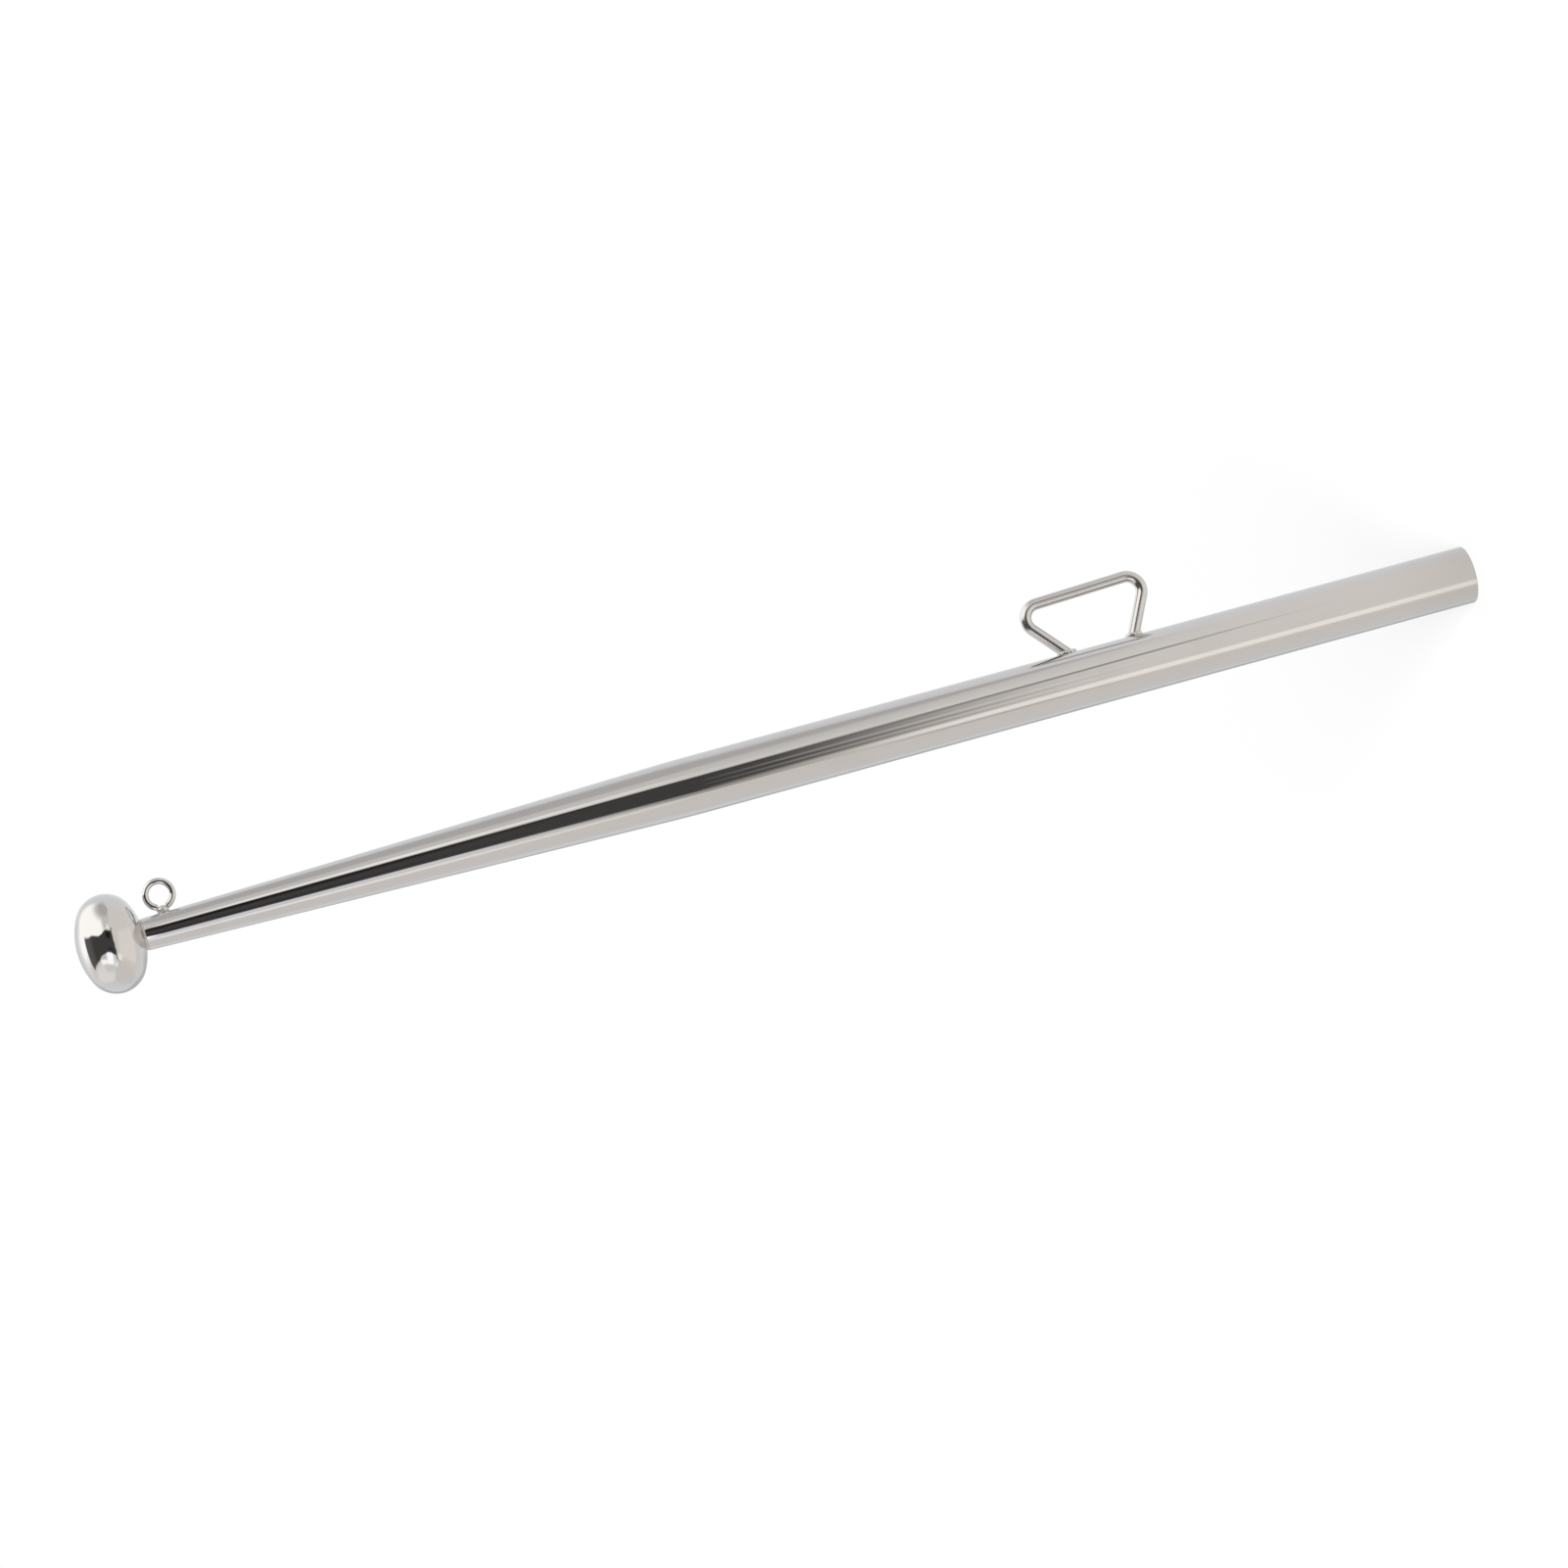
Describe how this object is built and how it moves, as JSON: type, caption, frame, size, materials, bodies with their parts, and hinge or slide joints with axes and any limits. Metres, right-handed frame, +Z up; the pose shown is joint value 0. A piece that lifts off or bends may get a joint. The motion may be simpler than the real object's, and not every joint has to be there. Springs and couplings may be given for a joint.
{
  "type": "marine flagstaff",
  "caption": "Straight-then-tapered stainless tube flagpole with a flattened ball finial, a wire halyard eye near the tip and a wire rope cleat on the same side.",
  "frame": {"origin": "centre of the tube's base end, the flat ring that stands in the socket", "axes": "+Z up the tube's axis to the finial, +X towards the side that carries the halyard eye and the rope cleat"},
  "size_m": [0.0618, 0.042, 0.618],
  "materials": {
    "polished_stainless": "mirror polished stainless steel",
    "polished_wire": "polished stainless wire",
    "weld_bead": "buffed weld bead"
  },
  "bodies": {
    "root": {"pole_tube": "polished_stainless", "finial": "polished_stainless", "finial_weld": "weld_bead", "halyard_eye": "polished_wire", "eye_weld": "weld_bead", "rope_cleat": "polished_wire", "cleat_weld_lower": "weld_bead", "cleat_weld_upper": "weld_bead"}
  },
  "joints": []
}
